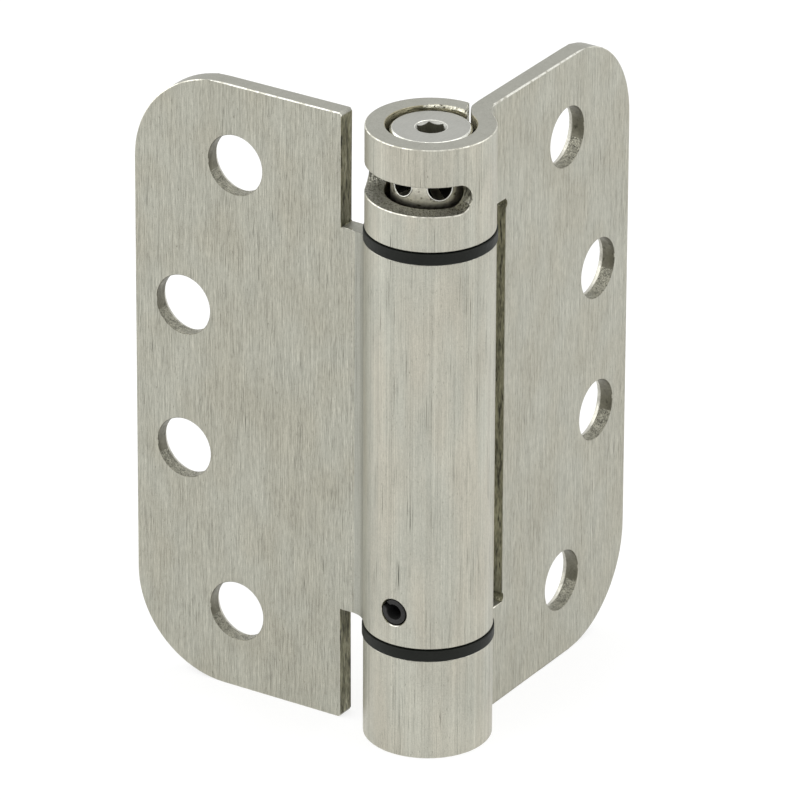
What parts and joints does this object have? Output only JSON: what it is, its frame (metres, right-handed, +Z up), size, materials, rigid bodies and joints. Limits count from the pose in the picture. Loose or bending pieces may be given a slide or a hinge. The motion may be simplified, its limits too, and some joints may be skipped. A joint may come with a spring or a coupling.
{
  "type": "spring hinge",
  "caption": "Adjustable spring hinge with two square-to-round cornered leaves standing at a right angle, a torsion spring in the barrel and black bushes between the knuckles.",
  "frame": {"origin": "barrel axis at the bottom face of the lower end knuckle", "axes": "+Z up the barrel; the centre-knuckle leaf runs along -X with its back face towards -Y, the end-knuckle leaf along +Y with its back face towards +X"},
  "size_m": [0.061, 0.0609, 0.1016],
  "materials": {
    "leaf_steel": null,
    "plug_steel": null,
    "spring_steel": null,
    "black_steel": null,
    "bush_nylon": null
  },
  "bodies": {
    "centre_leaf": {"centre_knuckle_leaf": "leaf_steel", "anchor_plug": "plug_steel", "roll_pin": "black_steel", "upper_bush": "bush_nylon", "torsion_spring": "spring_steel"},
    "end_leaf": {"end_knuckle_leaf": "leaf_steel", "lower_bush": "bush_nylon", "foot_plug": "plug_steel"},
    "tension_plug": {"adjusting_plug": "plug_steel"}
  },
  "joints": [
    {"name": "leaf_swing", "type": "hinge", "parent": "centre_leaf", "child": "end_leaf", "pos_m": [0, 0, 0.0508], "axis": [0, 0, 1], "range_deg": [-90, 90]},
    {"name": "tension_turn", "type": "hinge", "parent": "centre_leaf", "child": "tension_plug", "pos_m": [0, 0, 0.0936], "axis": [0, 0, 1], "range_deg": [-360, 0], "stiffness_Nm_per_rad": 0.35, "deforming": ["torsion_spring"]}
  ]
}
